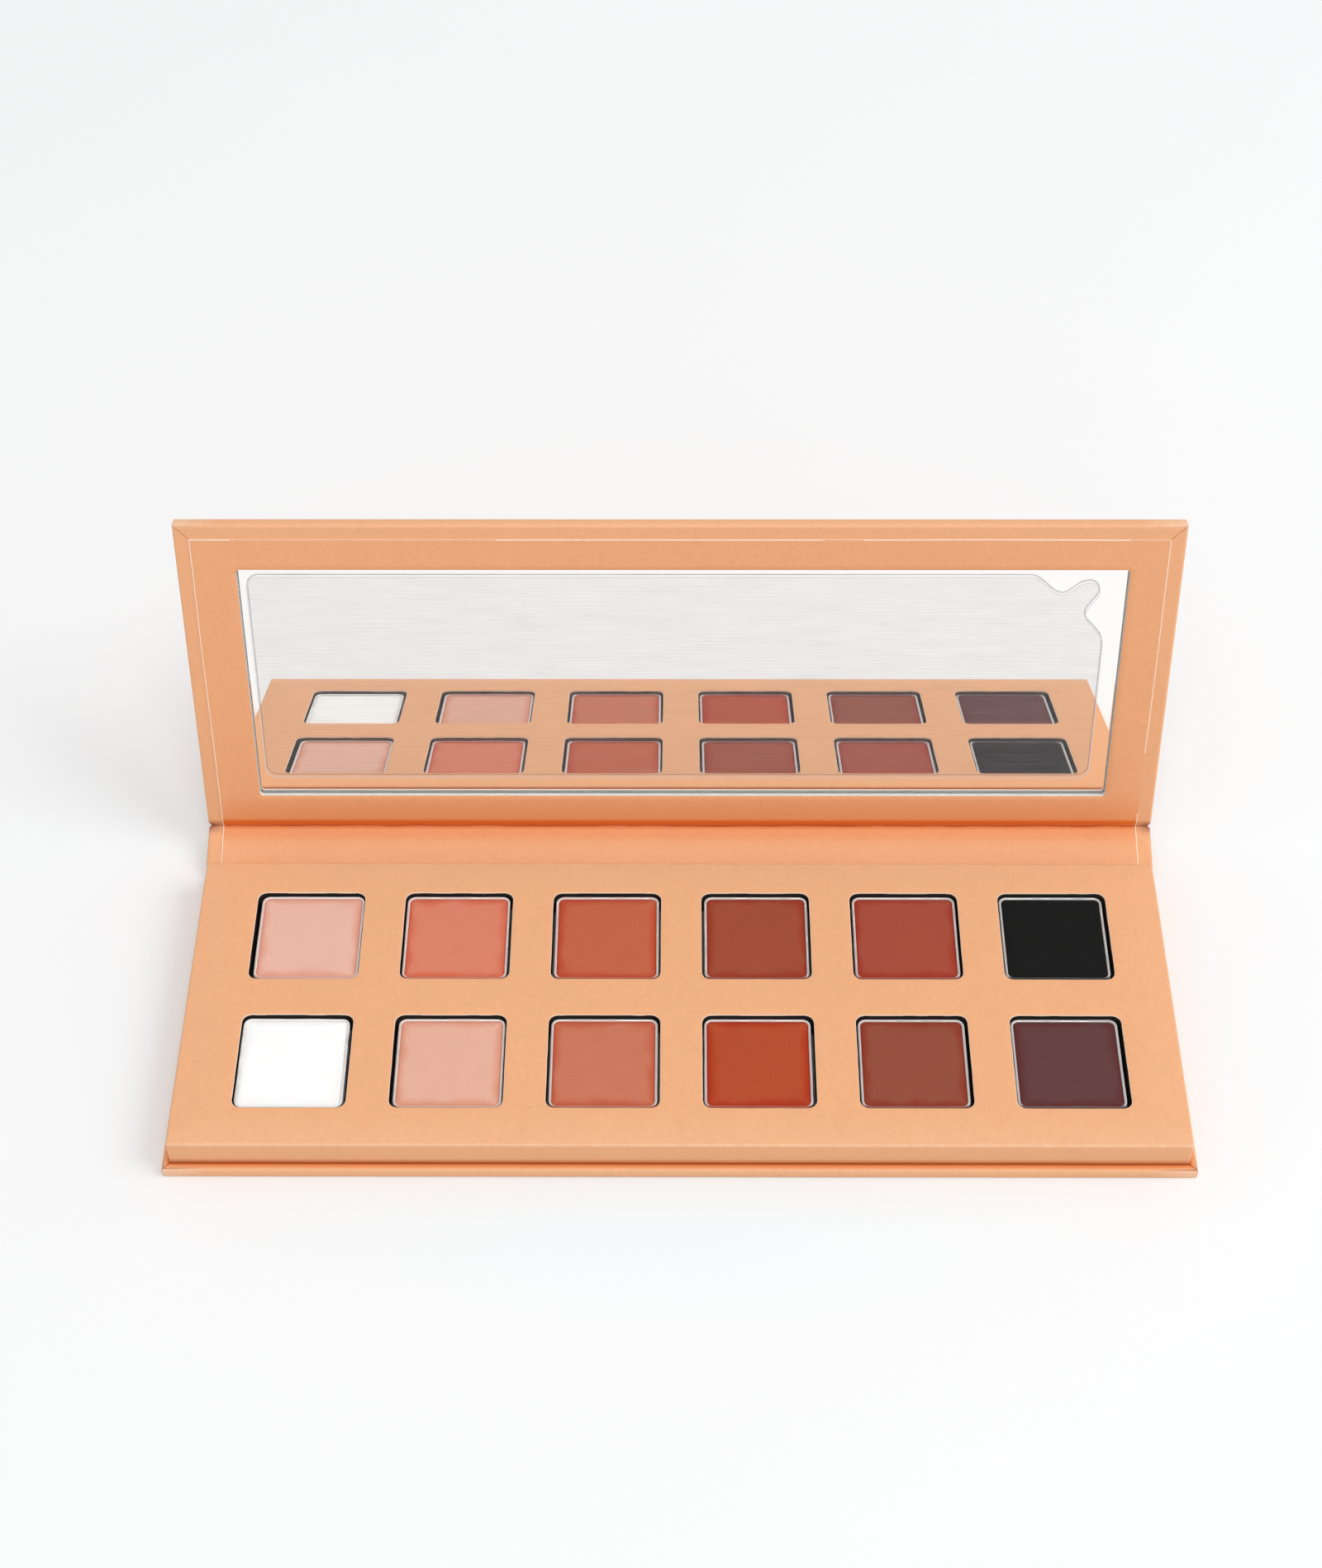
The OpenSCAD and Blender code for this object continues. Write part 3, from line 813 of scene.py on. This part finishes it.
def tray_cover():
    """Covering paper of the tray: twelve punched windows, rounded outer edges, a pale front edge that is
    partly worn and partly a painted highlight, and painted shade at its foot and along its back edge.
    """
    mesh = bmesh.new()
    x0, x1 = tray_lo.x + TRAY_R, tray_hi.x - TRAY_R
    y0, y1 = tray_lo.y + TRAY_R, tray_hi.y - TRAY_R
    top = tray_hi.z
    x_cuts = [x0] + [(a + b) / 2 for a, b in zip(WELL_X, WELL_X[1:])] + [x1]
    y_cuts = [y0, sum(ROW_Y) / 2, y1]
    count, arc = 8, 4
    for r, well_y in enumerate(ROW_Y):
        for c, well_x in enumerate(WELL_X):
            rows = [cell_loop(x_cuts[c], x_cuts[c + 1], y_cuts[r], y_cuts[r + 1], top, count, arc)]
            for grow, drop in ((1.0, 0), (0.14, 0), (0.07, 0.015), (0.0, 0.07)):
                half = WELL_HALF + grow
                radius = WELL_R + grow
                rows.append(square_loop(well_x, well_y, half, half, radius, top - drop, count, arc))
            for row in rows[2:]:
                for p in row:
                    p.x += ripple(p.x, p.y, c, size=1.6, amount=0.05, seed=2.0)
                    p.y += ripple(p.x, p.y, r, size=1.6, amount=0.05, seed=6.0)
            grid(mesh, rows[:-1], closed=True)
            grid(mesh, rows[-2:], closed=True, slot=EDGE)
    steps = count + arc
    xs = [x for a, b in zip(x_cuts, x_cuts[1:]) for x in span(a, b, steps)[:-1]] + [x1]
    ys = [y for a, b in zip(y_cuts, y_cuts[1:]) for y in span(a, b, steps)[:-1]] + [y1]
    rows = []
    for inset, drop in quarter(TRAY_R):
        rows.append(corner_loop(xs, ys, TRAY_R - inset, top - drop))
    for z in (top - TRAY_R - 0.4, tray_lo.z + 1.5):
        rows.append(corner_loop(xs, ys, TRAY_R, z))
    for inset, rise in reversed(quarter(FOOT_R, 4)):
        rows.append(corner_loop(xs, ys, TRAY_R - inset, tray_lo.z + rise))
    for row in rows[2:]:
        for p in row:
            out = ripple(p.x, p.y, p.z, size=9, amount=0.04, seed=1.0)
            p.x = max(tray_lo.x, min(tray_hi.x, p.x + out))
            p.y = max(tray_lo.y, min(tray_hi.y, p.y + out))
    rows.append(corner_loop(xs, ys, -2.0, tray_lo.z, 4))
    grid(mesh, rows[::-1], closed=True)
    # The sheet is open below, so its faces may agree on facing in
    clean(mesh)
    bmesh.ops.recalc_face_normals(mesh, faces=mesh.faces)
    if next(f for f in mesh.faces if abs(f.calc_center_median().z - top) < 1e-3).normal.z < 0:
        bmesh.ops.reverse_faces(mesh, faces=mesh.faces)

    def on_plate(p):
        return p.z > top - 0.1 and x0 < p.x < x1 and y0 < p.y < y1

    thicken(mesh, PAPER - UNDER_GAP, EDGE, straight_down=on_plate)

    # Pale along the top edges, partly worn and partly a painted highlight, and worn on the upright corners
    def wear_and_painted_highlight(p):
        front = falloff(math.hypot(p.y - tray_lo.y - 0.08, p.z - top + 0.25), 0.52)
        sides = falloff(math.hypot(tray_hi.x - abs(p.x) - 0.15, p.z - top + 0.15), 0.4)
        back = falloff(math.hypot(tray_hi.y - p.y - 0.15, p.z - top + 0.15), 0.4)
        upright = falloff(math.hypot(tray_hi.x - abs(p.x) - 0.1, p.y - tray_lo.y - 0.1), 0.35)
        return min(1.0, 0.42 * front + 0.12 * sides + 0.12 * back + 0.4 * upright)

    # Painted shade at the foot and along the back edge, and a real smudge near the front right
    def stain_and_painted_shade(p):
        foot = min(1.0, 2 * falloff(p.z - tray_lo.z, 0.4))
        smudge = falloff(math.hypot(p.x - tray_hi.x + 7, (p.y - tray_lo.y - 3) * 1.5), 3)
        back_edge = falloff(math.hypot(tray_hi.y - p.y, p.z - top + TRAY_R), 0.4)
        return 0.85 * foot + 0.06 * smudge + 0.35 * back_edge

    # Deep orange painted shade low on the walls, by the foot
    def deep(p):
        return 0.55 * falloff(p.z - tray_lo.z, 1.5)

    make_piece("tray_cover", mesh, BASE, (COVER, COVER_EDGE), ("tray_wrap",), "base",
               {"wear_and_painted_highlight": wear_and_painted_highlight, "stain_and_painted_shade": stain_and_painted_shade, "deep": deep})


tray_cover()


def pan_and_powder(row, column, seed):
    """One tinplate pan with a thin uneven rim, and the powder pressed into it."""
    key = f"{row}_{column}"
    colour = POWDERS[key]
    lo, hi = local_box(f"pan_{key}")
    cx, cy = (lo.x + hi.x) / 2, (lo.y + hi.y) / 2
    half = (hi.x - lo.x) / 2
    count, arc = 12, 6

    def ring(inset, z, unevenness=0.0):
        loop = square_loop(cx, cy, half - inset, half - inset, max(0.25, PAN_R - inset), z, count, arc)
        for p in loop:
            shift = unevenness * 0.5 + ripple(p.x, p.y, 0, size=4.5, amount=unevenness, seed=seed)
            away = Vector((p.x - cx, p.y - cy, 0)).normalized()
            p.x -= away.x * shift
            p.y -= away.y * shift
            if unevenness:
                p.z += ripple(p.x, p.y, 3, size=5.5, amount=0.05, seed=seed) - 0.03
        return loop

    # From the hollow's middle up the wall, over the rim, down the outside and under
    rows = [ring(8.0, lo.z + 0.25), ring(0.9, lo.z + 0.25), ring(0.62, lo.z + 0.35), ring(0.56, hi.z - 0.35),
            ring(0.52, hi.z - 0.12, 0.04), ring(0.44, hi.z - 0.03, 0.04), ring(0.26, hi.z, 0.03),
            ring(0.11, hi.z - 0.04, 0.02), ring(0.03, hi.z - 0.14), ring(0.03, lo.z + 0.3),
            ring(0.2, lo.z + 0.05), ring(0.5, lo.z), ring(8.0, lo.z)]

    def smear(p):
        return min(0.95, 1.7 * falloff(p.y - lo.y, 0.9))

    material = tinplate(f"tinplate_{key}", colour)
    make_piece(f"tin_pan_{key}", capped(rows), BASE, (material,),
               (f"pan_{key}",), "base", {"smear": smear}, sharp=50)

    powder_lo, powder_hi = local_box(f"powder_{key}")
    top = powder_hi.z
    # From the powder's middle to its sunken edge, then down to the pan's floor
    edge = 0.5
    levels = [(8.6, 0), (7.0, 0), (5.0, 0), (3.4, 0.01), (2.4, 0.02), (1.7, 0.04), (1.25, 0.065),
              (0.95, 0.1), (0.76, 0.15), (0.64, 0.21), (0.55, 0.28), (edge, 0.36)]
    rows = []
    for inset, drop in levels:
        loop = ring(inset, top - drop)
        for p in loop:
            crown = 0.08 * (1 - min(1.0, math.hypot(p.x - cx, p.y - cy) / half))
            p.z += ripple(p.x, p.y, 0, size=5, amount=0.025, seed=seed + 5) + crown - 0.03
        rows.append(loop)
    rows.append(ring(edge, powder_lo.z))
    rows.append(ring(6.0, powder_lo.z))

    def rim(p):
        inset = half - max(abs(p.x - cx), abs(p.y - cy))
        uneven = 1 + ripple(p.x, p.y, 1, size=4, amount=0.8, seed=seed)
        return 0.9 * falloff(max(0.0, inset - 0.45), 1.7 * uneven)

    # The powder's own colour, darker and more saturated
    strong = tuple(0.88 * max(colour) * (c / max(colour)) ** 1.7 for c in colour)
    material = pressed_powder(f"powder_{key}", colour, strong)
    make_piece(f"pressed_powder_{key}", capped(rows), BASE, (material,),
               (f"powder_{key}",), "base", {"rim": rim})


for n, (row, column) in enumerate((r, c) for r in ROWS for c in range(1, COLUMNS + 1)):
    pan_and_powder(row, column, 1.7 + 3.3 * n)


# ---------------------------------------------------------------- mirror and film

def mirror():
    """Glass with ground, slightly bevelled edges. It is sunk into the silvering, so no air is between."""
    margin = 0.12
    bedding = 0.05
    corner_radius = 0.5
    cx, cy = (glass_lo.x + glass_hi.x) / 2, (glass_lo.y + glass_hi.y) / 2
    half_w, half_d = glass_hi.x - cx + margin, glass_hi.y - cy + margin
    top, foot = glass_hi.z, glass_lo.z - bedding
    levels = [(30, top), (0.30, top), (0.12, top), (0.03, top - 0.05), (0.0, top - 0.12), (0.0, foot),
              (30, foot)]
    rows = []
    for inset, z in levels:
        inset = min(inset, half_d - 1)
        rows.append(square_loop(cx, cy, half_w - inset, half_d - inset, corner_radius, z, 8))
    mesh = capped(rows)
    for face in mesh.faces:
        if abs(face.normal.z) < 0.95:
            face.material_index = EDGE
    make_piece("mirror_pane", mesh, LID, (GLASS, GLASS_EDGE), ("mirror_glass",), "lid")


mirror()


def smooth_through(points, steps=8):
    """Catmull-Rom curve from the second of the points to the last but one."""
    curve = []
    for p0, p1, p2, p3 in zip(points, points[1:], points[2:], points[3:]):
        for step in range(steps):
            t = step / steps
            curve.append(0.5 * (2 * p1 + (p2 - p0) * t + (2 * p0 - 5 * p1 + 4 * p2 - p3) * t * t
                                + (3 * p1 - p0 - 3 * p2 + p3) * t ** 3))
    return curve


def film_corner(cx, cy, radius, start, steps=8):
    """Points of a round corner, anticlockwise from the angle start."""
    turns = [math.radians(start + 90 * i / steps) for i in range(steps + 1)]
    return [Vector((cx + radius * math.cos(t), cy + radius * math.sin(t))) for t in turns]


def film_outline():
    """The film's edge: three round corners, and a pull tab on the fourth."""
    lo, hi = local_box("mirror_film", LID)
    corner_r = 2.5
    tab = [(hi.x, 40.0), (hi.x, 43.0), (82.5, 46.3), (81.0, 48.6), (79.2, 50.7), (78.9, 52.6), (80.1, 54.6),
           (81.2, 56.7), (80.7, 58.5), (79.2, 59.3), (77.3, 58.8), (75.6, 57.4), (74.0, 56.5), (72.1, 57.4),
           (70.2, 59.2), (68.3, hi.y - 0.1), (66.3, hi.y), (63.0, hi.y)]
    outline = film_corner(lo.x + corner_r, hi.y - corner_r, corner_r, 90)
    outline += film_corner(lo.x + corner_r, lo.y + corner_r, corner_r, 180)
    outline += film_corner(hi.x - corner_r, lo.y + corner_r, corner_r, 270)
    outline += smooth_through([Vector(p) for p in tab])
    return outline, lo.z, hi.z


def protective_film():
    """The film, clear of the glass by a hair, so that no two faces lie on each other."""
    outline, low, high = film_outline()
    count = len(outline)
    inward = []
    for i, p in enumerate(outline):
        along = (outline[(i + 1) % count] - outline[i - 1]).normalized()
        inward.append(Vector((-along.y, along.x)))
    lift = 0.03
    low += lift
    mesh = bmesh.new()
    rows = []
    for inset, z in ((0.0, low), (0.0, low + 0.03), (0.05, high), (0.22, high), (0.27, high - 0.03)):
        rows.append([Vector((p.x + n.x * inset, p.y + n.y * inset, z)) for p, n in zip(outline, inward)])
    made = grid(mesh, rows, closed=True, slot=EDGE)
    sheet = mesh.faces.new(made[-1])
    sheet.material_index = SURFACE
    if sheet.normal.z < 0:
        sheet.normal_flip()
    under = mesh.faces.new(made[0][::-1])
    under.material_index = SURFACE
    bmesh.ops.recalc_face_normals(mesh, faces=mesh.faces)
    bmesh.ops.triangulate(mesh, faces=[f for f in mesh.faces if len(f.verts) > 4])
    make_piece("protective_film", mesh, LID, (FILM, FILM_EDGE), ("mirror_film",), "lid",
               flat=SURFACE)


protective_film()


# ---------------------------------------------------------------- CAD nodes that stay

KEPT = {
    "base_board": GREYBOARD, "tray_floor_board": GREYBOARD, "spine_board": GREYBOARD,
    "lid_back_board": GREYBOARD, "lid_window_board": WHITE_BOARD, "tray_core": BLACK_BOARD,
    "tray_glue_sheet": GLUE, "pan_glue_dots": GLUE, "mirror_adhesive": GLUE,
    "tray_magnets": STEEL, "lid_magnets": STEEL, "mirror_silvering": SILVER}
for node, material in KEPT.items():
    for slot in frame["nodes"][node].material_slots:
        slot.material = material


# ---------------------------------------------------------------- stage, light and camera

def stage():
    """Plain pale paper floor, a little cooler under the object, whose own colour warms it."""
    floor_mesh = bpy.data.meshes.new("floor")
    reach = 40.0
    corners = [(-reach, -reach, 0), (reach, -reach, 0), (reach, reach, 0), (-reach, reach, 0)]
    floor_mesh.from_pydata(corners, [], [(0, 1, 2, 3)])
    floor = bpy.data.objects.new("floor", floor_mesh)
    floor.location.z = -0.05 * MM
    look = Look("floor_paper", (0.852, 0.858, 0.864), 0.9, 0.1)
    look.blend_to(look.spread(look.grain(60, 2), 0.3, 0.7, 0.0, 0.3), (0.842, 0.848, 0.854))
    look.blend_to(look.spot(125, 68), (0.745, 0.834, 0.874))
    floor_mesh.materials.append(look.material)
    bpy.context.scene.collection.objects.link(floor)


def area_light(name, place, power):
    """Large soft disc that faces the object."""
    aim = Vector((0, 0, 0.02))
    data = bpy.data.lights.new(name, "AREA")
    data.shape = "DISK"
    data.size = 1.6
    data.energy = power
    light = bpy.data.objects.new(name, data)
    light.location = place
    light.rotation_euler = (aim - Vector(place)).to_track_quat("-Z", "Y").to_euler()
    bpy.context.scene.collection.objects.link(light)


def camera():
    """Set back and above, looking down at the open palette."""
    azimuth, elevation, roll = (math.radians(a) for a in (-0.51, 48.86, -0.34))
    forward = Vector((math.sin(azimuth) * math.cos(elevation), math.cos(azimuth) * math.cos(elevation),
                      -math.sin(elevation)))
    right = forward.cross(Vector((0, 0, 1))).normalized()
    up = right.cross(forward)
    across = right * math.cos(roll) + up * math.sin(roll)
    upward = up * math.cos(roll) - right * math.sin(roll)
    data = bpy.data.cameras.new("camera")
    data.lens = 61.18
    data.sensor_width = 36
    data.clip_start = 0.01
    data.clip_end = 20
    made = bpy.data.objects.new("camera", data)
    made.matrix_world = Matrix((across, upward, -forward)).transposed().to_4x4()
    made.location = (-0.00053, -0.3066, 0.4227)
    bpy.context.scene.collection.objects.link(made)
    bpy.context.scene.camera = made


def light():
    """Even studio light, a soft key from the right and a soft front light from above."""
    world = bpy.data.worlds.new("studio")
    world.use_nodes = True
    world.node_tree.nodes["Background"].inputs["Color"].default_value = (1.0, 1.0, 1.0, 1)
    world.node_tree.nodes["Background"].inputs["Strength"].default_value = 0.66
    bpy.context.scene.world = world
    area_light("key", (1.7, -0.25, 1.7), 19.8)
    area_light("front", (0.1, -1.3, 2.5), 24.8)


stage()
light()
camera()
bpy.context.scene.view_settings.view_transform = "Standard"
